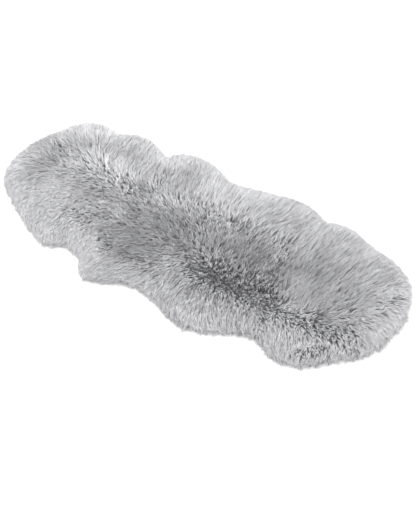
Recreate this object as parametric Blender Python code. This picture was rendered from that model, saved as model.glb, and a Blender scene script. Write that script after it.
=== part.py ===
"""Long sheepskin rug, made of two whole pelts and lying flat with its wool up.

Each pelt is one piece, the skin with the wool that grows on it, so each is one solid that reaches as far
as the wool does. The pelts meet face to face at a seam across the rug's waist. Their edges keep the lobes
that an uncut pelt has at its legs and flanks, and the wool is combed apart in soft troughs.

Metres. +X runs along the rug, +Y across it and +Z up. The origin is on the floor below the rug's middle.
"""

import math

import bmesh
import bpy
from mathutils import Vector
from mathutils.geometry import delaunay_2d_cdt

LENGTH = 1.800  # over the wool
WIDTH = 0.795  # over the wool, at the widest lobes
PILE = 0.056  # from the floor to the tips of the wool, away from the edge

# The rim's section: the wool curls under to rest on the floor, is widest just above it, then rounds over.
TUCK = 0.012  # how far the foot of the wool stands inside the widest line
GIRTH_HEIGHT = 0.012
RIM_WIDTH = 0.060  # from the widest line in to where the top is level
RIM_STEPS = 5

POINT_SPACING = 0.018  # along the outline
GRID_SPACING = 0.042  # between the points of the top
SEAM_GAP = 0.0003

# The outline, clockwise from the waist's far side, one lobe a row. A lobe runs from the end of the row
# before it. It swells out of that straight line by swell, furthest at peak, a share of the way along, and a
# fullness under 1 gives it a blunter crown. Drawn in metres, and fitted to LENGTH and WIDTH afterwards.
WAIST = (-0.010, 0.335)
LOBES = (
    # name, end x, end y, swell, peak, fullness
    ("second far flank", 0.445, 0.352, 0.048, 0.68, 0.95),
    ("second far leg", 0.660, 0.335, 0.030, 0.45, 1.00),
    ("second far shoulder", 0.820, 0.286, 0.010, 0.55, 1.00),
    ("second end", 0.810, -0.160, 0.088, 0.45, 0.70),
    ("second near leg", 0.463, -0.270, 0.082, 0.63, 0.85),
    ("second near flank", 0.045, -0.328, 0.070, 0.62, 0.95),
    ("waist", -0.040, -0.322, 0.004, 0.50, 1.00),
    ("first near flank", -0.312, -0.320, 0.079, 0.74, 0.75),
    ("first near gap", -0.413, -0.300, 0.008, 0.50, 1.00),
    ("first near leg", -0.845, -0.180, 0.070, 0.22, 0.85),
    ("first end", -0.760, 0.292, 0.082, 0.42, 0.80),
    ("first far leg", -0.580, 0.315, 0.026, 0.45, 1.00),
    ("first far flank", -0.325, 0.308, 0.052, 0.47, 1.00),
    ("first far hip", WAIST[0], WAIST[1], 0.070, 0.42, 0.90),
)
SEAM = (WAIST, (0.000, -0.330))  # from the waist's far side to its near side

# Soft troughs, where the wool parts or a valley runs in from a gap between two lobes.
TROUGHS = (
    # name, from x, from y, to x, to y, half width, depth
    ("second near parting", 0.110, -0.130, 0.440, -0.120, 0.050, 0.013),
    ("second end parting", 0.470, -0.150, 0.750, -0.130, 0.035, 0.007),
    ("second far parting", -0.080, 0.120, 0.360, 0.130, 0.050, 0.006),
    ("second end dimple", 0.800, 0.130, 0.740, 0.000, 0.035, 0.006),
    ("second near gap", 0.463, -0.270, 0.430, -0.150, 0.030, 0.012),
    ("second far gap", 0.445, 0.352, 0.420, 0.220, 0.035, 0.008),
    ("first far parting", -0.600, 0.090, -0.290, 0.050, 0.045, 0.010),
    ("first near parting", -0.460, -0.170, -0.080, -0.210, 0.045, 0.008),
    ("first near gap", -0.413, -0.300, -0.440, -0.160, 0.030, 0.010),
    ("first far gap", -0.325, 0.308, -0.260, 0.140, 0.035, 0.010),
    ("first end dimple", -0.760, 0.100, -0.700, 0.060, 0.045, 0.006),
    ("far waist", -0.010, 0.335, 0.000, 0.200, 0.040, 0.006),
    ("near waist", 0.010, -0.325, 0.000, -0.220, 0.040, 0.006),
)


def clear_scene():
    for thing in list(bpy.data.objects):
        bpy.data.objects.remove(thing)


# ---------------------------------------------------------------- outline


def lobe_points(start, end, swell, peak, fullness):
    """Points of one lobe from start, with its end left to the next lobe."""
    chord = end - start
    outward = Vector((-chord.y, chord.x)).normalized()
    skew = math.log(0.5) / math.log(peak)
    steps = max(3, round(chord.length / POINT_SPACING))
    points = []
    for step in range(steps):
        along = step / steps
        bulge = swell * math.sin(math.pi * along**skew) ** fullness
        points.append(start + chord * along + outward * bulge)
    return points


def smoothed(loop):
    """The loop with each point drawn a little towards its neighbours, as wool rounds a sharp gap."""
    count = len(loop)
    return [loop[i] * 0.5 + (loop[i - 1] + loop[(i + 1) % count]) * 0.25 for i in range(count)]


def drawn_outline():
    start = Vector(WAIST)
    points = []
    for _, x, y, swell, peak, fullness in LOBES:
        end = Vector((x, y))
        points += lobe_points(start, end, swell, peak, fullness)
        start = end
    return smoothed(points)


def fit_to_size(outline):
    """A function that takes a drawn point to its place on a rug of LENGTH by WIDTH about the origin."""
    low = Vector((min(p.x for p in outline), min(p.y for p in outline)))
    high = Vector((max(p.x for p in outline), max(p.y for p in outline)))
    middle = (low + high) / 2
    scale = Vector((LENGTH / (high.x - low.x), WIDTH / (high.y - low.y)))
    return lambda p: Vector(((p[0] - middle.x) * scale.x, (p[1] - middle.y) * scale.y))


def inward_directions(loop, reach=3):
    """The way in from each point, square to the loop as it runs over a few points to each side."""
    count = len(loop)
    ways = []
    for i in range(count):
        run = loop[(i + reach) % count] - loop[i - reach]
        ways.append(Vector((run.y, -run.x)).normalized())
    return ways


# ---------------------------------------------------------------- height


def trough_depth(point, troughs):
    """How far the wool dips at a point, from the deepest trough there."""
    deepest = 0.0
    for start, end, half_width, depth in troughs:
        run = end - start
        along = max(0.0, min(1.0, (point - start).dot(run) / run.length_squared))
        away = (point - start - run * along).length / half_width
        deepest = max(deepest, depth * math.exp(-away * away))
    return deepest


def rim_section():
    """(inset, height) from the floor up over the rim to the level top."""
    section = [(TUCK, 0.0)]
    for step in range(RIM_STEPS + 1):
        angle = math.pi / 2 * step / RIM_STEPS
        section.append((RIM_WIDTH * (1 - math.cos(angle)), GIRTH_HEIGHT + (PILE - GIRTH_HEIGHT) * math.sin(angle)))
    return section


# ---------------------------------------------------------------- body of the rug


def inside_by(point, loop, margin):
    """Whether a point is inside the loop and at least margin from its corners."""
    crossings = 0
    for a, b in zip(loop, loop[1:] + loop[:1]):
        if (a - point).length < margin:
            return False
        if (a.y > point.y) != (b.y > point.y):
            crossings += point.x < a.x + (b.x - a.x) * (point.y - a.y) / (b.y - a.y)
    return crossings % 2 == 1


def top_points(loop):
    """Staggered rows of points that fill the loop."""
    points = []
    row_spacing = GRID_SPACING * math.sqrt(3) / 2
    rows = int(WIDTH / row_spacing) + 1
    columns = int(LENGTH / GRID_SPACING) + 1
    for row in range(rows):
        for column in range(columns):
            shift = 0.5 * (row % 2)
            point = Vector(((column + shift) * GRID_SPACING - LENGTH / 2, row * row_spacing - WIDTH / 2))
            if inside_by(point, loop, GRID_SPACING * 0.55):
                points.append(point)
    return points


def rug_body(outline, troughs):
    """The whole rug as one closed bmesh: a flat foot, the rim's rings one after another, and the top."""

    def lifted(point, height):
        return Vector((point.x, point.y, height * (1 - trough_depth(point, troughs) / PILE)))

    body = bmesh.new()
    inward = inward_directions(outline)
    count = len(outline)
    section = rim_section()
    inset, height = section[0]
    ring = [body.verts.new(lifted(p + way * inset, height)) for p, way in zip(outline, inward)]
    body.faces.new(ring)  # clockwise from above, so it faces the floor
    for inset, height in section[1:]:
        edges = [body.edges.get((ring[i], ring[(i + 1) % count])) for i in range(count)]
        pulled = bmesh.ops.extrude_edge_only(body, edges=edges)["geom"]
        copies = {v.co.to_tuple(6): v for v in pulled if isinstance(v, bmesh.types.BMVert)}
        ring = [copies[v.co.to_tuple(6)] for v in ring]
        for vert, point, way in zip(ring, outline, inward):
            vert.co = lifted(point + way * inset, height)

    edge_of_top = [v.co.to_2d() for v in ring]
    found = delaunay_2d_cdt(edge_of_top + top_points(edge_of_top), [], [list(range(count))], 1, 1e-6)
    places, faces, origins = found[0], found[2], found[3]
    corner = []
    for place, origin in zip(places, origins):
        on_ring = [i for i in origin if i < count]
        corner.append(ring[on_ring[0]] if on_ring else body.verts.new(lifted(place, PILE)))
    for face in faces:
        body.faces.new([corner[i] for i in face])
    bmesh.ops.recalc_face_normals(body, faces=body.faces)
    return body


def pelt(body, name, seam_point, away_from_seam, material):
    """The part of the rug on one side of the seam, closed with a flat face where the pelts meet."""
    half = body.copy()
    cut = bmesh.ops.bisect_plane(
        half,
        geom=half.verts[:] + half.edges[:] + half.faces[:],
        dist=1e-5,
        plane_co=seam_point + away_from_seam * SEAM_GAP / 2,
        plane_no=away_from_seam,
        clear_inner=True,
    )["geom_cut"]
    bmesh.ops.edgeloop_fill(half, edges=[e for e in cut if isinstance(e, bmesh.types.BMEdge)])
    bmesh.ops.recalc_face_normals(half, faces=half.faces)
    mesh = bpy.data.meshes.new(name)
    half.to_mesh(mesh)
    half.free()
    mesh.shade_smooth()
    mesh.set_sharp_from_angle(angle=math.radians(60))
    mesh.materials.append(material)
    made = bpy.data.objects.new(name, mesh)
    bpy.context.scene.collection.objects.link(made)
    return made


def wool_material():
    material = bpy.data.materials.new("light grey wool")
    material.use_nodes = True
    surface = material.node_tree.nodes["Principled BSDF"]
    surface.inputs["Base Color"].default_value = (0.46, 0.46, 0.47, 1.0)
    surface.inputs["Roughness"].default_value = 0.9
    surface.inputs["Metallic"].default_value = 0.0
    return material


# ---------------------------------------------------------------- the rug

clear_scene()
drawn = drawn_outline()
place = fit_to_size(drawn)
troughs = [(place((x0, y0)), place((x1, y1)), wide, deep) for _, x0, y0, x1, y1, wide, deep in TROUGHS]
rug = rug_body([place(p) for p in drawn], troughs)

far_end, near_end = (place(p).to_3d() for p in SEAM)
seam_run = far_end - near_end
towards_second = Vector((seam_run.y, -seam_run.x, 0.0)).normalized()
wool = wool_material()
pelt(rug, "first_pelt", far_end, -towards_second, wool)
pelt(rug, "second_pelt", far_end, towards_second, wool)
rug.free()
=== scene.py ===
import math

import bpy
import numpy as np
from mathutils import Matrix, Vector, noise
from mathutils.bvhtree import BVHTree
from mathutils.kdtree import KDTree


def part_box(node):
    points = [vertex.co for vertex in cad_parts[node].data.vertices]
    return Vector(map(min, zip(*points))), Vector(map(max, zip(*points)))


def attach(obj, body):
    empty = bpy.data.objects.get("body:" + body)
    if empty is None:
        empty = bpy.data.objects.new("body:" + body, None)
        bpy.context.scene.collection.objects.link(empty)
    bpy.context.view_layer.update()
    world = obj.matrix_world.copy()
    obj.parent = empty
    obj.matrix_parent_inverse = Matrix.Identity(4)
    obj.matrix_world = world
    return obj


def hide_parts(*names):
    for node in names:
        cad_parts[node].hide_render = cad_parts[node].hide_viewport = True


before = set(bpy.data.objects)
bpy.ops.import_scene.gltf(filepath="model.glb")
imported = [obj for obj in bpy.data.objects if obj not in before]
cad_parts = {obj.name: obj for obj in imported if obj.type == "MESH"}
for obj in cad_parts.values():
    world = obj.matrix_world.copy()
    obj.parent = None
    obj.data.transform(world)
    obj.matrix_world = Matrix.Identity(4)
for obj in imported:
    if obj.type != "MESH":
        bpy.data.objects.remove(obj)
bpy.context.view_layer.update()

# ------------------------------------------------------------------------------------------------ camera
# The rug lies on the floor, seen from a corner of its near side at standing height, a little more from
# above than from the side.

AIM = Vector((0.117, -0.054, 0.0))
STANDPOINT = Vector((1.007, -1.480, 2.324))

bpy.ops.object.select_all(action="DESELECT")
looking = (AIM - STANDPOINT).to_track_quat("-Z", "Y").to_euler()
bpy.ops.object.camera_add(location=STANDPOINT, rotation=looking)
camera = bpy.context.object
camera.name = "camera"
camera.data.lens = 49.4
camera.data.clip_start = 0.01
bpy.context.scene.camera = camera

# --------------------------------------------------------------------------------------------- underwool
# Under the tips the wool of a sheepskin is so dense that it reads as a solid cushion. It grows on the
# tanned skin, follows its lobes and is soft grey, darker than the tips because little light gets in.

SEAM_X = (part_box("first_pelt")[1][0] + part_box("second_pelt")[0][0]) / 2
SEAM_LAP = 0.001  # closes the gap between the pelts' solids
INSET = 0.018  # how far the dense wool stays inside the tips at the rim
HEIGHT_SHARE = 0.68  # and how high it stands, as a share of the whole pile
FLOOR_GAP = 0.0024  # the leather is under it
UNDERWOOL_GRID = 0.012
ROOT_GRID = 0.0043  # one lock for each square of this size
ROUNDING_PASSES = 6


def srgb(code):
    """A hex colour as Blender's linear one."""
    parts = [int(code[i : i + 2], 16) / 255 for i in (1, 3, 5)]
    return (*[p / 12.92 if p <= 0.04045 else ((p + 0.055) / 1.055) ** 2.4 for p in parts], 1.0)


def node(tree, kind, inputs=None, **settings):
    """Adds a node with its settings, and its inputs as values or as the sockets they are linked to."""
    made = tree.nodes.new(kind)
    for name, value in settings.items():
        setattr(made, name, value)
    for name, value in (inputs or {}).items():
        if isinstance(value, bpy.types.NodeSocket):
            tree.links.new(value, made.inputs[name])
        else:
            made.inputs[name].default_value = value
    return made


def new_surface(name):
    """A new material's tree and its Principled shader."""
    material = bpy.data.materials.new(name)
    material.use_nodes = True
    return material, material.node_tree, material.node_tree.nodes["Principled BSDF"]


def select_only(*pieces):
    bpy.ops.object.select_all(action="DESELECT")
    for piece in pieces:
        piece.select_set(True)
    bpy.context.view_layer.objects.active = pieces[0]


def copied_node(name):
    """A merged copy of a CAD node, riding on nothing."""
    select_only(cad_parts[name])
    bpy.ops.object.duplicate()
    copy = bpy.context.object
    copy.parent = None
    for key in list(copy.keys()):
        del copy[key]
    copy.data.materials.clear()
    bpy.ops.object.mode_set(mode="EDIT")
    bpy.ops.mesh.select_all(action="SELECT")
    bpy.ops.mesh.remove_doubles(threshold=0.00001)
    bpy.ops.object.mode_set(mode="OBJECT")
    return copy


def whole_rug(name):
    """Both pelts' solids as one, lapped a little where they meet."""
    halves = []
    for pelt, way in (("first_pelt", 1), ("second_pelt", -1)):
        half = copied_node(pelt)
        bpy.ops.object.mode_set(mode="EDIT")
        bpy.ops.mesh.select_mode(type="FACE")
        bpy.ops.mesh.select_all(action="DESELECT")
        bpy.ops.object.mode_set(mode="OBJECT")
        for face in half.data.polygons:
            face.select = abs(face.normal.x) > 0.99 and abs(face.center.x - SEAM_X) < 0.01
        bpy.ops.object.mode_set(mode="EDIT")
        bpy.ops.transform.translate(value=(way * SEAM_LAP, 0, 0))
        bpy.ops.object.mode_set(mode="OBJECT")
        halves.append(half)
    select_only(*halves)
    bpy.ops.object.join()
    rug = bpy.context.object
    rug.name = rug.data.name = name
    return rug


def drawn_in(name, grid, inset):
    """The rug's shape in even squares of that size, drawn in at its rim and lowered."""
    body = whole_rug(name)
    squares = body.modifiers.new("even squares", "REMESH")
    squares.mode, squares.voxel_size = "VOXEL", grid
    bpy.ops.object.modifier_apply(modifier=squares.name)
    rounding = body.modifiers.new("rounding", "SMOOTH")
    rounding.factor, rounding.iterations = 0.5, ROUNDING_PASSES
    bpy.ops.object.modifier_apply(modifier=rounding.name)
    mesh = body.data
    count = len(mesh.vertices)
    places, ways = np.empty(count * 3), np.empty(count * 3)
    mesh.vertices.foreach_get("co", places)
    mesh.vertex_normals.foreach_get("vector", ways)
    places, ways = places.reshape(-1, 3), ways.reshape(-1, 3)
    places[:, :2] -= ways[:, :2] * inset
    places[:, 2] = FLOOR_GAP + (places[:, 2] - places[:, 2].min()) * HEIGHT_SHARE
    mesh.vertices.foreach_set("co", places.ravel())
    mesh.update()
    return body


def underwool_material():
    """Wool: matt, tangled fibres, seen only in the gaps between the locks."""
    material, tree, surface = new_surface("dense grey wool")
    place = node(tree, "ShaderNodeTexCoord").outputs["Object"]
    tufts = node(tree, "ShaderNodeTexNoise", {"Vector": place, "Scale": 160.0, "Detail": 4.0})
    tufts.inputs["Roughness"].default_value = 0.6
    shade = node(tree, "ShaderNodeValToRGB", {"Fac": tufts.outputs["Fac"]})
    shade.color_ramp.elements[0].color = srgb("#8a8a8c")
    shade.color_ramp.elements[1].color = srgb("#b6b6b8")
    bump = node(tree, "ShaderNodeBump", {"Height": tufts.outputs["Fac"]})
    bump.inputs["Distance"].default_value = 0.003
    bump.inputs["Strength"].default_value = 0.6
    tree.links.new(shade.outputs["Color"], surface.inputs["Base Color"])
    tree.links.new(bump.outputs["Normal"], surface.inputs["Normal"])
    surface.inputs["Roughness"].default_value = 0.9
    return material


roots = drawn_in("wool_roots", ROOT_GRID, INSET)
underwool = drawn_in("underwool", UNDERWOOL_GRID, INSET)
underwool.data.materials.append(underwool_material())
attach(underwool, "root")

# ------------------------------------------------------------------------------------------------- locks
# The wool proper: tens of thousands of locks, each a bundle of fibres that grew together, so they taper
# to a soft point. They were washed and combed outwards from the back of each sheep, part here and there,
# and hang over the rim. A lock is a tapering bar of three sides, bent as it leans.

LOCK_LENGTH = 0.050
OPEN_LENGTH = 0.025  # where the wool stands up in a parting
LOW_LENGTH = 0.024  # beside the floor
FRINGE = 0.021  # how far the lowest wool reaches out over the floor
LOCK_WIDTH = 0.0036  # at its widest, nearly half way up
LOCK_THICKNESS_SHARE = 0.6
LOCK_RINGS = ((0.0, 0.8), (0.48, 1.0))  # share of its length, share of its width
TUFT_SIZE = 0.0085  # locks this close lean on each other
TUFT_PULL = 0.35
CLUMP_SIZE = 0.017  # and this close turn alike where the wool is loose
STREAM_STEP = 0.0065  # from one lock to the next that it lies on
WISP_STEPS = 6  # locks in a row that make one long wisp
WISP_REACH = 0.0045
WISP_PULL = 0.0040  # how far a tip moves sideways into its wisp
STRAY_SHARE = 0.06
RIM_STRAYS = 0.26
LOCKS_PER_PIECE = 19000  # each has ten triangles
HIGHEST = 0.064
FLOOR_CLEARANCE = 0.0012
UNDERSIDE_REACH = 0.014  # how far the wool grows in under the rim, to the edge of the skin
FIBRE_STREAKS = (1600, 140, 1)  # eight around each lock, far coarser than single fibres
LOOSE_LEAN = (48, 68)  # from wholly loose wool to wool that is combed flat, in degrees from upright
MEAN_TONE = 0.64

# Where the wool lies which way: place, heading from +X towards +Y in degrees, lean from upright.
COMBINGS = (
    ("first far shoulder", -0.72, 0.20, 115, 68),
    ("first far flank", -0.50, 0.22, 82, 73),
    ("first far gap", -0.34, 0.18, 97, 77),
    ("far waist", -0.18, 0.22, 86, 73),
    ("second far hip", 0.05, 0.24, 83, 73),
    ("second far flank", 0.25, 0.25, 68, 75),
    ("second far back", 0.30, 0.12, 62, 62),
    ("second far leg", 0.46, 0.22, 84, 69),
    ("second far shoulder", 0.62, 0.18, 75, 69),
    ("second far corner", 0.80, 0.22, 52, 73),
    ("second end", 0.87, 0.05, 345, 73),
    ("second near corner", 0.80, -0.10, 320, 73),
    ("second near shoulder", 0.70, -0.22, 305, 73),
    ("second near leg", 0.56, -0.26, 284, 75),
    ("second near flank", 0.40, -0.25, 297, 75),
    ("second near hip", 0.25, -0.28, 302, 75),
    ("second waist", 0.08, -0.25, 278, 73),
    ("first waist", -0.09, -0.24, 240, 71),
    ("first near hip", -0.22, -0.28, 262, 75),
    ("first near flank", -0.36, -0.22, 285, 73),
    ("first near leg", -0.52, -0.26, 288, 75),
    ("first near shoulder", -0.70, -0.18, 280, 73),
    ("first near corner", -0.80, -0.10, 240, 71),
    ("first end", -0.86, 0.03, 212, 71),
    ("first far corner", -0.80, 0.14, 145, 71),
    ("first spine", -0.66, 0.06, 185, 50),
    ("first back", -0.58, -0.06, 262, 60),
    ("first middle", -0.42, -0.08, 245, 50),
    ("first spine's end", -0.30, 0.01, 190, 48),
    ("first saddle", -0.18, -0.06, 218, 50),
    ("near saddle", -0.02, -0.10, 228, 50),
    ("middle saddle", -0.06, 0.01, 165, 48),
    ("far saddle", -0.12, 0.12, 108, 60),
    ("waist saddle", 0.07, 0.07, 98, 54),
    ("second saddle", 0.25, 0.00, 80, 54),
    ("second middle", 0.50, 0.00, 88, 62),
    ("second back", 0.66, 0.04, 75, 60),
)
COMB_REACH = 0.10  # how far each of them spreads

# Where the wool falls apart: a line from place to place, its half width, and how far it opens, 0 to 1.
PARTINGS = (
    ("second near parting", 0.14, -0.115, 0.42, -0.110, 0.066, 1.00),
    ("second end parting", 0.45, -0.140, 0.70, -0.120, 0.040, 0.60),
    ("second end", 0.70, -0.030, 0.76, -0.120, 0.045, 0.45),
    ("second cross parting", 0.385, -0.080, 0.370, 0.090, 0.035, 0.55),
    ("second far parting", 0.100, 0.110, 0.350, 0.130, 0.050, 0.45),
    ("second dimple", 0.820, 0.130, 0.780, 0.060, 0.035, 0.50),
    ("waist dimple", 0.030, 0.060, 0.050, -0.040, 0.030, 0.50),
    ("waist far parting", -0.100, 0.110, 0.090, 0.120, 0.030, 0.35),
    ("first far gap", -0.250, 0.200, -0.230, 0.100, 0.030, 0.50),
    ("first far parting", -0.560, 0.085, -0.330, 0.055, 0.040, 0.75),
    ("first dimple", -0.520, 0.000, -0.430, -0.010, 0.030, 0.45),
    ("middle parting", -0.220, 0.050, -0.130, 0.070, 0.030, 0.30),
    ("first near parting", -0.480, -0.160, -0.360, -0.130, 0.035, 0.40),
    ("first near gap", -0.270, -0.190, -0.240, -0.220, 0.035, 0.60),
    ("waist near parting", -0.140, -0.210, -0.050, -0.210, 0.035, 0.40),
    ("first end dimple", -0.770, 0.100, -0.720, 0.080, 0.050, 0.40),
    ("second near gap", 0.455, -0.280, 0.440, -0.190, 0.013, 0.70),
    ("second leg gap", 0.620, -0.250, 0.700, -0.180, 0.026, 0.70),
)

# Painted light and shade, and sleeker and rougher wool: place, its two radii, the change in tone and in
# roughness.
PATCHES = (
    ("first back", -0.60, -0.09, 0.14, 0.09, 0.37, -0.35),
    ("first near leg", -0.58, -0.25, 0.26, 0.09, 0.32, 0.10),
    ("first near hip", -0.31, -0.28, 0.08, 0.06, 0.28, -0.10),
    ("first far side", -0.49, 0.08, 0.16, 0.06, 0.22, 0.00),
    ("first near parting", -0.43, -0.17, 0.10, 0.06, 0.22, 0.00),
    ("first near corner", -0.83, -0.07, 0.06, 0.07, 0.14, 0.00),
    ("first far shoulder", -0.70, 0.17, 0.07, 0.06, 0.04, 0.00),
    ("first end", -0.78, 0.08, 0.08, 0.06, -0.24, -0.20),
    ("waist far", 0.00, 0.18, 0.18, 0.06, 0.11, 0.20),
    ("middle line", 0.05, 0.09, 0.50, 0.09, 0.00, 0.70),
    ("middle", 0.25, 0.00, 0.34, 0.08, -0.26, 0.00),
    ("second far flank", 0.25, 0.22, 0.20, 0.08, 0.13, 0.25),
    ("second near side", 0.45, -0.24, 0.36, 0.09, 0.04, 1.30),
    ("second middle", 0.52, -0.02, 0.07, 0.08, 0.08, -0.60),
    ("second near leg", 0.56, -0.20, 0.12, 0.07, 0.36, 0.10),
    ("second end", 0.79, 0.05, 0.08, 0.12, 0.16, 0.00),
    ("second hollow", 0.32, -0.08, 0.18, 0.05, -0.22, 0.10),
    ("second near hip", 0.22, -0.26, 0.12, 0.05, 0.08, 0.20),
    ("second waist", 0.05, -0.16, 0.08, 0.06, 0.18, 0.20),
    ("first waist", -0.12, -0.21, 0.09, 0.07, -0.24, 0.00),
    ("saddle", -0.10, -0.06, 0.24, 0.09, -0.07, -0.40),
    ("first spine's end", -0.29, 0.08, 0.05, 0.04, -0.18, 0.00),
    ("first end's middle", -0.71, 0.00, 0.05, 0.05, -0.14, 0.00),
    ("second spine", 0.51, 0.08, 0.07, 0.05, -0.16, 0.00),
    ("second near dip", 0.61, -0.08, 0.05, 0.04, -0.16, 0.00),
    ("first shoulder's foot", -0.60, 0.17, 0.07, 0.04, -0.11, 0.00),
    ("first far gap", -0.20, 0.16, 0.06, 0.05, -0.12, 0.00),
    ("middle dip", 0.01, 0.01, 0.06, 0.05, -0.12, 0.00),
    ("first near gap", -0.42, -0.25, 0.06, 0.06, -0.12, 0.00),
    ("second near shoulder", 0.70, -0.25, 0.06, 0.05, -0.14, -0.15),
    ("second far corner", 0.81, 0.17, 0.05, 0.05, -0.10, 0.00),
    ("first far corner", -0.80, 0.22, 0.06, 0.06, -0.10, 0.00),
    ("near rim", 0.00, -0.35, 0.60, 0.06, 0.04, 0.20),
    ("far rim", 0.00, 0.36, 0.60, 0.07, 0.00, -0.25),
)


def unit(vectors):
    """The vectors at length 1."""
    return vectors / np.maximum(np.linalg.norm(vectors, axis=-1, keepdims=True), 1e-12)


def smooth_noise(points, size, seed):
    """Even, soft noise from -1 to 1 at each point, with bumps of that size."""
    places = points / size + np.array((17.3, -17.3, 0.0)) * seed
    return np.array([noise.noise(Vector(place)) for place in places])


def soft_step(values, low, high):
    """From 0 at low to 1 at high, with no corner at either."""
    t = np.clip((values - low) / (high - low), 0.0, 1.0)
    return t * t * (3 - 2 * t)


def away_from_line(points, start, end):
    """How far each point is from a line with two ends."""
    start, run = np.array(start), np.array(end) - np.array(start)
    along = np.clip((points - start) @ run / (run @ run), 0.0, 1.0)
    return np.linalg.norm(points - start - along[:, None] * run, axis=1)


def combed(points):
    """At each point: the heading as a flat unit vector, the lean, and how far the combings agree."""
    total, ways, leans = 0.0, 0.0, 0.0
    for _, x, y, heading, lean in COMBINGS:
        near = 1 / (((points - (x, y)) ** 2).sum(1) + COMB_REACH**2) ** 2
        angle = math.radians(heading)
        ways = ways + near[:, None] * np.array((math.cos(angle), math.sin(angle)))
        leans = leans + near * lean
        total = total + near
    return unit(ways), leans / total, np.linalg.norm(ways, axis=1) / total


def parted(points):
    """How far the wool is open at each point, 0 to 1."""
    opening = np.zeros(len(points))
    for _, x0, y0, x1, y1, half_width, share in PARTINGS:
        away = away_from_line(points, (x0, y0), (x1, y1)) / half_width
        opening = np.maximum(opening, share * np.exp(-(away**3)))
    return opening


def patched(points):
    """The change in tone, which is painted light and shade, and in roughness at each point."""
    change = np.zeros((2, len(points)))
    for _, x, y, long, wide, tone, rough in PATCHES:
        near = np.exp(-(((points - (x, y)) / (long, wide)) ** 2).sum(1))
        change += np.array([[tone], [rough]]) * near
    return change


def tree_of(points, chosen=None):
    """A search tree of the points, or of the chosen ones by their numbers."""
    chosen = range(len(points)) if chosen is None else chosen
    tree = KDTree(len(chosen))
    for i in chosen:
        tree.insert(points[i], int(i))
    tree.balance()
    return tree


def nearest(tree, points):
    """The number of the point in the tree that is closest to each point."""
    return np.array([tree.find(p)[1] for p in points])


def root_points(surface, chance):
    """For each square that grows a lock: a point, the surface's normal, how far in from the rim it is and
    the way out to the rim. The wool grows all over the top and, below, as far in as the skin's edge."""
    mesh = surface.data
    count = len(mesh.polygons)
    centres, ways = np.empty(count * 3), np.empty(count * 3)
    mesh.polygons.foreach_get("center", centres)
    mesh.polygons.foreach_get("normal", ways)
    centres, ways = centres.reshape(-1, 3), unit(ways.reshape(-1, 3))
    rim = centres[np.abs(ways[:, 2]) < 0.25] * (1, 1, 0)
    level = centres * (1, 1, 0)
    closest = rim[nearest(tree_of(rim), level)]
    inside = np.linalg.norm(closest - level, axis=1)
    below = ways[:, 2] < -0.45
    grows = ~below | (inside < UNDERSIDE_REACH)
    outward = np.where(below[:, None], unit(closest - level), unit(ways * (1, 1, 0)))[:, :2]
    nudge = unit(chance.normal(size=centres.shape)) * ROOT_GRID * 0.5
    nudge -= ways * (nudge * ways).sum(1, keepdims=True)
    return (centres + nudge)[grows], ways[grows], inside[grows], outward[grows]


def drawn_out(values, following, steps):
    """Values spread along the way that the wool lies, so that they read as long wisps; kept as strong."""
    total, at = values.copy(), following
    for _ in range(steps):
        total += values[at]
        at = following[at]
    return (total - total.mean()) / total.std()


def laid(bed, points, rise, normal):
    """Points brought to that height over the dense wool, as hair falls back onto what it grows from."""
    found = np.empty_like(points)
    for i, point in enumerate(points):
        place, way, _, _ = bed.find_nearest(point)
        found[i] = place
        normal_here = normal[i] + np.array(way)
        found[i] += rise[i] * normal_here / np.linalg.norm(normal_here)
    return found


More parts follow.
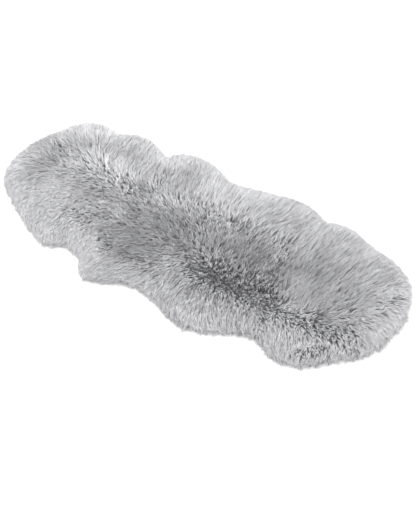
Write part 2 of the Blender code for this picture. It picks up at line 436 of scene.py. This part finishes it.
def grown_locks(surface):
    """Root, bend and tip of each lock, the way that its flat side faces, its width, its tone with painted
    light and shade, and its painted shade towards the root.
    """
    chance = np.random.default_rng(21)
    start, normal, inside, outward = root_points(surface, chance)
    count = len(start)
    flat = start[:, :2]
    heading, lean, agreed = combed(flat)
    parting = parted(flat)
    crossing = 1 - soft_step(agreed, 0.15, 0.85)
    opening = np.maximum(parting, 0.50 * crossing)
    loose = 1 - soft_step(lean, *LOOSE_LEAN)
    slope = 1 - normal[:, 2]
    # the patches' change in tone is painted light and shade
    painted_light_and_shade, patch_rough = patched(flat)
    edge = 1 - soft_step(inside, 0.02, 0.17)
    rough = np.clip(0.8 + patch_rough - 0.25 * edge * (flat[:, 1] > 0) + 1.2 * parting, 0.3, 2.2)

    # at the rim the combed wool turns outwards, and below it all heads straight out
    below = normal[:, 2] < -0.45
    hold = np.where(below, 1.0, 0.7 * soft_step(slope, 0.02, 0.8))[:, None]
    heading = unit(heading * (1 - hold) + outward * hold)

    # the locks of one tuft or clump share what they draw
    chosen = np.flatnonzero(chance.random(count) < (ROOT_GRID / TUFT_SIZE) ** 2)
    tuft = nearest(tree_of(start, chosen), start)
    tuft_turn, tuft_long, tuft_tone, tuft_rise, tuft_lean = chance.normal(size=(5, count))[:, tuft]
    chosen = np.flatnonzero(chance.random(count) < (ROOT_GRID / CLUMP_SIZE) ** 2)
    clump = nearest(tree_of(start, chosen), start)
    clump_turn, clump_tone = chance.normal(size=(2, count))[:, clump]
    turn = 20 * smooth_noise(start, 0.11, 1) + 16 * smooth_noise(start, 0.035, 2) + 4 * tuft_turn
    turn += opening * (45 * tuft_turn + 18 * chance.normal(size=count)) + 5 * chance.normal(size=count)
    turn += loose * (22 * clump_turn + 24 * tuft_turn + 12 * chance.normal(size=count))
    turn = np.radians(turn)
    c, s = np.cos(turn), np.sin(turn)
    x, y = heading.T
    heading = np.stack([x * c - y * s, x * s + y * c, 0 * c], 1)
    along = unit(heading - normal * (heading * normal).sum(1, keepdims=True))
    side = np.cross(normal, along)

    # wisps run from each lock to the one that it lies on
    tree = tree_of(start)
    following = nearest(tree, start + along * STREAM_STEP)
    strand = 0.75 * tuft_tone + 0.5 * chance.normal(size=count)
    wisp = drawn_out(strand, following, WISP_STEPS) * (1 - loose) + drawn_out(strand, following, 2) * loose
    left, right = nearest(tree, start + side * WISP_REACH), nearest(tree, start - side * WISP_REACH)
    ridge = np.tanh(0.8 * (wisp[left] - wisp[right]))
    gathered = tuft[following[following]]

    # how far each lock leans, how long it is and how high its tip stands over the dense wool
    low = (1 - soft_step(start[:, 2], 0.005, 0.020))[:, None]
    rim = 1 - soft_step(inside, 0.0, 0.06)
    point = smooth_noise(start * (1, 1, 0), 0.013, 6)
    stray = chance.random(count) < STRAY_SHARE + RIM_STRAYS * rim
    lean = lean + 6 * smooth_noise(start, 0.05, 3) + 4 * chance.normal(size=count)
    lean = lean * (1 - 0.85 * opening) - 24 * stray * chance.random(count)
    lean = lean + (9 * loose + 16 * opening) * tuft_lean
    lean = np.radians(np.clip(lean, 4, 82))[:, None]
    long = LOCK_LENGTH + (OPEN_LENGTH - LOCK_LENGTH) * np.maximum(opening, 0.75 * loose)
    long = (long * (1 + (0.08 + 0.10 * opening) * tuft_long + 0.06 * chance.normal(size=count)))[:, None]
    drop = np.maximum(-along[:, 2:] * np.sin(lean), 0.05)
    above_floor = start[:, 2:] - 0.002 - 0.003 * chance.random((count, 1))
    long = np.minimum(long, np.maximum(above_floor / drop, LOW_LENGTH))
    bed = BVHTree.FromObject(surface, bpy.context.evaluated_depsgraph_get())
    rise = long * np.cos(lean) * (1 + (0.14 * rough * wisp + 0.07 * tuft_rise + 1.2 * rim * point)[:, None])
    rise = np.minimum(rise, INSET + 0.005 + 0.004 * chance.random((count, 1)))
    tip = laid(bed, start + along * long * np.sin(lean), rise, normal)
    middle = laid(bed, start + along * long * np.sin(lean) * 0.45, rise * 0.62, normal)

    # the lowest wool lies out over the floor instead, as an uneven fringe
    reach = 1 + 1.3 * point + 0.15 * tuft_long + 0.12 * chance.normal(size=count) + 0.30 * stray
    reach = FRINGE * reach[:, None]
    fringe = start + heading * reach
    fringe[:, 2] = FLOOR_CLEARANCE + start[:, 2] * 0.5 * chance.random(count)
    halfway = start + heading * reach * 0.5
    halfway[:, 2] = np.where(below, FLOOR_CLEARANCE, 0.8 * start[:, 2] + 0.003)
    tip, middle = tip + (fringe - tip) * low, middle + (halfway - middle) * low

    # the tips of a tuft draw together, and those beside a wisp draw into it
    aside = tip[gathered] - tip
    aside -= along * (aside * along).sum(1, keepdims=True) * (1 - 0.6 * opening[:, None])
    aside *= np.minimum(1.0, 0.008 / np.maximum(np.linalg.norm(aside, axis=1, keepdims=True), 1e-9))
    aside *= TUFT_PULL * (1 + 1.1 * opening[:, None])
    aside += side * (WISP_PULL * ridge * (1 - opening))[:, None]
    tip, middle = tip + aside, middle + 0.5 * aside
    bend = 2 * middle - (start + tip) / 2
    bend[:, 2] = np.clip(bend[:, 2], FLOOR_CLEARANCE + 0.001, HIGHEST)
    tip[:, 2] = np.clip(tip[:, 2], FLOOR_CLEARANCE, HIGHEST - 0.003 * chance.random(count))

    # painted light and shade: paler at the rim, where the wool lies on its side, lighter and darker in the
    # patches and in clouds where the pile rises and dips
    tone = MEAN_TONE + 0.25 * edge + painted_light_and_shade + 0.04 * smooth_noise(start, 0.16, 4)
    tone += 0.13 * smooth_noise(start, 0.055, 5) + 0.035 * clump_tone * loose
    # painted light on the wisps' ridges and painted shade in the narrow gaps between them, besides locks
    # that differ at random
    tone += (0.050 * np.minimum(wisp, 0.8 * wisp + 0.1) + 0.100 * chance.normal(size=count)) * rough
    tone += parting * (0.02 + 0.09 * tuft_tone + 0.13 * chance.normal(size=count)) + 0.05 * crossing
    tone = np.minimum(tone, 1.0)
    width = LOCK_WIDTH * (1 + 0.15 * chance.normal(size=count)) * (1 - 0.35 * stray) * (1 + 0.35 * parting)
    # painted shade: how much darker each lock gets towards its root, most in the partings
    depth = np.clip(0.11 + 0.22 * rough + 0.42 * parting - 0.15 * crossing, 0.1, 0.95)
    return dict(start=start, bend=bend, tip=tip, normal=normal, width=width, tone=tone, depth=depth)


def lock_mesh(name, locks, chosen):
    """The chosen locks as one mesh with a place each in a UV map. An attribute holds how far along its lock
    each point is in red, the lock's tone, with its painted light and shade, in green and how much painted
    shade darkens it towards its root in blue."""
    start, bend, tip = (locks[k][chosen] for k in ("start", "bend", "tip"))
    width, tone = locks["width"][chosen], locks["tone"][chosen]
    count, sides, rings = len(start), 3, len(LOCK_RINGS)
    across = unit(np.cross(tip - start, locks["normal"][chosen] + 1e-4))
    points = np.empty((count, rings * sides + 1, 3))
    marks = np.zeros((count, rings * sides + 1, 4), np.float32)
    for ring, (t, share) in enumerate(LOCK_RINGS):
        middle = (1 - t) ** 2 * start + 2 * t * (1 - t) * bend + t * t * tip
        run = unit(2 * (1 - t) * (bend - start) + 2 * t * (tip - bend))
        above = unit(np.cross(across, run))
        for side in range(sides):
            angle = math.tau * (side / sides + 0.25)
            half = (width * share / 2)[:, None]
            at = ring * sides + side
            out = across * math.cos(angle) + above * math.sin(angle) * LOCK_THICKNESS_SHARE
            points[:, at] = middle + out * half
            marks[:, at, 0] = t
    points[:, -1] = tip
    marks[:, -1, 0] = 1.0
    points[:, :, 2] = np.maximum(points[:, :, 2], 0.0003)
    marks[:, :, 1] = tone[:, None]
    marks[:, :, 2] = locks["depth"][chosen][:, None]
    marks[:, :, 3] = 1.0

    quads = [
        (a * sides + b, a * sides + (b + 1) % sides, (a + 1) * sides + (b + 1) % sides, (a + 1) * sides + b)
        for a in range(rings - 1)
        for b in range(sides)
    ]
    last = (rings - 1) * sides
    points_up = [(last + b, last + (b + 1) % sides, rings * sides) for b in range(sides)]
    foot = [tuple(range(sides))[::-1]]
    faces = quads + points_up + foot
    corners = np.array([i for face in faces for i in face])
    lengths = np.array([len(face) for face in faces])
    per = rings * sides + 1

    mesh = bpy.data.meshes.new(name)
    mesh.vertices.add(count * per)
    mesh.vertices.foreach_set("co", points.reshape(-1))
    mesh.loops.add(count * len(corners))
    each = np.arange(count, dtype=np.int32)[:, None]
    mesh.loops.foreach_set("vertex_index", (each * per + corners).ravel().astype(np.int32))
    mesh.polygons.add(count * len(faces))
    starts = np.concatenate([[0], np.cumsum(lengths)[:-1]])
    mesh.polygons.foreach_set("loop_start", (each * len(corners) + starts).ravel().astype(np.int32))
    mesh.update(calc_edges=True)
    mesh.validate()
    mark = mesh.attributes.new("wool", "FLOAT_COLOR", "POINT")
    mark.data.foreach_set("color", marks.reshape(-1))

    # each lock has its own cell of the UV map: around it from left to right, from root to tip upwards
    columns = math.ceil(math.sqrt(count * 2.0))
    lines = math.ceil(count / columns)
    cell = np.stack([np.arange(count) % columns, np.arange(count) // columns], 1)
    spot = []
    for a in range(rings - 1):
        for b in range(sides):
            spot += [(b, a), (b + 1, a), (b + 1, a + 1), (b, a + 1)]
    for b in range(sides):
        spot += [(b, rings - 1), (b + 1, rings - 1), (b + 0.5, rings)]
    spot += [(0.0, -0.02), (1.0, -0.06), (0.0, -0.06)]
    spot = np.array(spot, float) * (1 / sides, 1 / rings)
    spot = 0.06 + 0.88 * spot
    uv = (cell[:, None] + spot) / (columns, lines)
    layer = mesh.uv_layers.new(name="OFBake")
    layer.uv.foreach_set("vector", uv.reshape(-1).astype(np.float32))
    mesh.shade_smooth()
    made = bpy.data.objects.new(name, mesh)
    bpy.context.scene.collection.objects.link(made)
    return made


def lock_material(name):
    """Wool: matt and a little glossy along the fibres; paler at the tips, with painted shade darkening it
    down in the pile.
    """
    material, tree, surface = new_surface(name)
    mark = node(tree, "ShaderNodeAttribute", attribute_name="wool")
    parts = node(tree, "ShaderNodeSeparateColor", {"Color": mark.outputs["Color"]})
    along, tone = parts.outputs["Red"], parts.outputs["Green"]
    # painted shade: the colour darkens from the tip down to the root by the share held in blue, and the
    # lock's tone in green scales it
    sunk = node(tree, "ShaderNodeMapRange", {"Value": along, "From Max": 0.85, "To Min": 1.0})
    sunk.inputs["To Max"].default_value = 0.0
    sunk = sunk.outputs["Result"]
    shaded = node(tree, "ShaderNodeMath", {0: sunk, 1: parts.outputs["Blue"]}, operation="MULTIPLY")
    left = node(tree, "ShaderNodeMath", {0: 1.0, 1: shaded.outputs["Value"]}, operation="SUBTRACT")
    bright = node(tree, "ShaderNodeMath", {0: left.outputs["Value"], 1: tone}, operation="MULTIPLY")
    around = node(tree, "ShaderNodeUVMap", uv_map="OFBake").outputs["UV"]
    strands = node(tree, "ShaderNodeMapping", {"Vector": around, "Scale": FIBRE_STREAKS})
    strands = strands.outputs["Vector"]
    streak = node(tree, "ShaderNodeTexNoise", {"Vector": strands, "Scale": 1.0, "Detail": 1.0})
    streak = streak.outputs["Fac"]
    fibre = node(tree, "ShaderNodeMapRange", {"Value": streak, "To Min": 0.76, "To Max": 1.24})
    fibre = fibre.outputs["Result"]
    streaked = node(tree, "ShaderNodeMath", {0: bright.outputs["Value"], 1: fibre}, operation="MULTIPLY")
    shade = node(tree, "ShaderNodeValToRGB", {"Fac": streaked.outputs["Value"]})
    shade.color_ramp.elements[0].color = srgb("#48484a")
    shade.color_ramp.elements[1].color = srgb("#f2f2f4")
    middle = shade.color_ramp.elements.new(0.5)
    middle.color = srgb("#aeaeb0")
    bump = node(tree, "ShaderNodeBump", {"Height": streak, "Strength": 0.5, "Distance": 0.0006})
    tree.links.new(shade.outputs["Color"], surface.inputs["Base Color"])
    tree.links.new(bump.outputs["Normal"], surface.inputs["Normal"])
    surface.inputs["Roughness"].default_value = 0.75
    surface.inputs["Specular IOR Level"].default_value = 0.3
    surface.inputs["Sheen Weight"].default_value = 0.25
    surface.inputs["Sheen Roughness"].default_value = 0.5
    return material


locks = grown_locks(roots)
bpy.data.objects.remove(roots)
wool = lock_material("grey wool")
wool_pieces = {}
by_length = np.argsort(locks["start"][:, 0], kind="stable")
on_first = locks["start"][by_length, 0] < SEAM_X
for pelt, chosen in (("first", by_length[on_first]), ("second", by_length[~on_first])):
    parts = np.array_split(chosen, math.ceil(len(chosen) / LOCKS_PER_PIECE))
    wool_pieces[pelt] = [lock_mesh(f"{pelt}_pelt_wool_{n}", locks, part) for n, part in enumerate(parts, 1)]
    for piece in wool_pieces[pelt]:
        piece.data.materials.append(wool)
        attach(piece, "root")

# ------------------------------------------------------------------------------------------------- hides
# The skins that the wool grows on, seen only from below: soft tanned sheepskin, 1.6 mm thick, its suede
# side down and its edge left as the pelt was cut. The two are sewn edge to edge with waxed thread.

HIDE_THICKNESS = 0.0016
HIDE_LIFT = 0.0007  # the thread is under it
HIDE_INSET = 0.030  # from the outline of the wool
HIDE_GRID = 0.010
HIDE_SLICE = 0.010  # the height at which the drawn-in shape has the hide's outline
SEAM_GAP = 0.0005
STITCH_LENGTH = 0.010
STITCH_THICKNESS = 0.0014
STITCH_SPACING = 0.0055
STITCH_SLANT = math.radians(24)
STITCHES = 104


def hide_material():
    """Suede: matt, cream where it wasn't reached by the wool's dye, with a soft nap and cloudy tanning."""
    material, tree, surface = new_surface("cream suede sheepskin")
    place = node(tree, "ShaderNodeTexCoord").outputs["Object"]
    clouds = node(tree, "ShaderNodeTexNoise", {"Vector": place, "Scale": 9.0, "Detail": 5.0})
    clouds.inputs["Roughness"].default_value = 0.6
    shade = node(tree, "ShaderNodeValToRGB", {"Fac": clouds.outputs["Fac"]})
    shade.color_ramp.elements[0].position, shade.color_ramp.elements[1].position = 0.3, 0.7
    shade.color_ramp.elements[0].color = srgb("#b9ae9f")
    shade.color_ramp.elements[1].color = srgb("#cfc6b8")
    nap = node(tree, "ShaderNodeTexNoise", {"Vector": place, "Scale": 900.0, "Detail": 2.0})
    bump = node(tree, "ShaderNodeBump", {"Height": nap.outputs["Fac"]})
    bump.inputs["Distance"].default_value = 0.0006
    bump.inputs["Strength"].default_value = 0.35
    tree.links.new(shade.outputs["Color"], surface.inputs["Base Color"])
    tree.links.new(bump.outputs["Normal"], surface.inputs["Normal"])
    surface.inputs["Roughness"].default_value = 0.92
    surface.inputs["Specular IOR Level"].default_value = 0.2
    surface.inputs["Sheen Weight"].default_value = 0.2
    return material


def thread_material():
    """Waxed linen thread: pale and a little shiny."""
    material, tree, surface = new_surface("waxed cream thread")
    surface.inputs["Base Color"].default_value = srgb("#d9d2c4")
    surface.inputs["Roughness"].default_value = 0.5
    return material


def skin(name, way):
    """One pelt's skin, on the side of the seam that way points to."""
    hide = drawn_in(name, HIDE_GRID, HIDE_INSET)
    select_only(hide)
    bpy.ops.object.mode_set(mode="EDIT")
    bpy.ops.mesh.select_all(action="SELECT")
    slice_at = (0, 0, HIDE_SLICE)
    bpy.ops.mesh.bisect(
        plane_co=slice_at, plane_no=(0, 0, 1), use_fill=True, clear_inner=True, clear_outer=True
    )
    bpy.ops.mesh.select_all(action="SELECT")
    edge = (SEAM_X + way * SEAM_GAP / 2, 0, 0)
    bpy.ops.mesh.bisect(plane_co=edge, plane_no=(way, 0, 0), clear_inner=True)
    bpy.ops.mesh.select_all(action="SELECT")
    bpy.ops.transform.resize(value=(1, 1, 0), center_override=(0, 0, HIDE_LIFT))
    bpy.ops.mesh.extrude_region_move(TRANSFORM_OT_translate={"value": (0, 0, HIDE_THICKNESS)})
    bpy.ops.mesh.select_all(action="SELECT")
    bpy.ops.mesh.normals_make_consistent(inside=False)
    bpy.ops.object.mode_set(mode="OBJECT")
    hide.data.shade_flat()
    return hide


suede = hide_material()
bpy.ops.mesh.primitive_uv_sphere_add(segments=6, ring_count=5, radius=0.5)
seam = bpy.context.object
seam.name = seam.data.name = "seam_stitches"
bpy.ops.object.mode_set(mode="EDIT")
stitch_size = (STITCH_LENGTH, STITCH_THICKNESS, STITCH_THICKNESS)
bpy.ops.transform.resize(value=stitch_size, center_override=(0, 0, 0))
bpy.ops.transform.rotate(value=STITCH_SLANT, orient_axis="Z", center_override=(0, 0, 0))
bpy.ops.transform.translate(
    value=(SEAM_X, -STITCH_SPACING * (STITCHES - 1) / 2, STITCH_THICKNESS / 2 + 0.0001)
)
bpy.ops.object.mode_set(mode="OBJECT")
row = seam.modifiers.new("row", "ARRAY")
row.count = STITCHES
row.use_relative_offset, row.use_constant_offset = False, True
row.constant_offset_displace = (0, STITCH_SPACING, 0)
bpy.ops.object.modifier_apply(modifier=row.name)
seam.data.shade_smooth()
seam.data.materials.append(thread_material())
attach(seam, "root")

first_hide = skin("first_hide", -1)
second_hide = skin("second_hide", 1)
for hide in (first_hide, second_hide):
    hide.data.materials.append(suede)
    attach(hide, "root")
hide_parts("first_pelt", "second_pelt")

# --------------------------------------------------------------------------------------- floor and light
# A plain, very pale floor, a bright even room and one large soft lamp.

FLOOR_SIZE = 14.0
ROOM_BRIGHTNESS = 1.32
LAMP_PLACE = (-1.6, 1.6, 3.2)
LAMP_SIZE = 2.4
LAMP_POWER = 80.0

bpy.ops.mesh.primitive_plane_add(size=FLOOR_SIZE, location=(0, 0, 0))
floor = bpy.context.object
floor.name = "floor"
material, tree, surface = new_surface("white floor")
surface.inputs["Base Color"].default_value = srgb("#fdfdfd")
surface.inputs["Roughness"].default_value = 1.0
surface.inputs["Specular IOR Level"].default_value = 0.0
floor.data.materials.append(material)

world = bpy.data.worlds.new("room")
world.use_nodes = True
background = world.node_tree.nodes["Background"]
background.inputs["Color"].default_value = srgb("#ffffff")
background.inputs["Strength"].default_value = ROOM_BRIGHTNESS
bpy.context.scene.world = world

bpy.ops.object.light_add(type="AREA", location=LAMP_PLACE)
lamp = bpy.context.object
lamp.name = "soft lamp"
lamp.data.shape = "DISK"
lamp.data.size = LAMP_SIZE
lamp.data.energy = LAMP_POWER
lamp.rotation_euler = (Vector((0, 0, 0)) - lamp.location).to_track_quat("-Z", "Y").to_euler()

bpy.context.scene.view_settings.view_transform = "Standard"
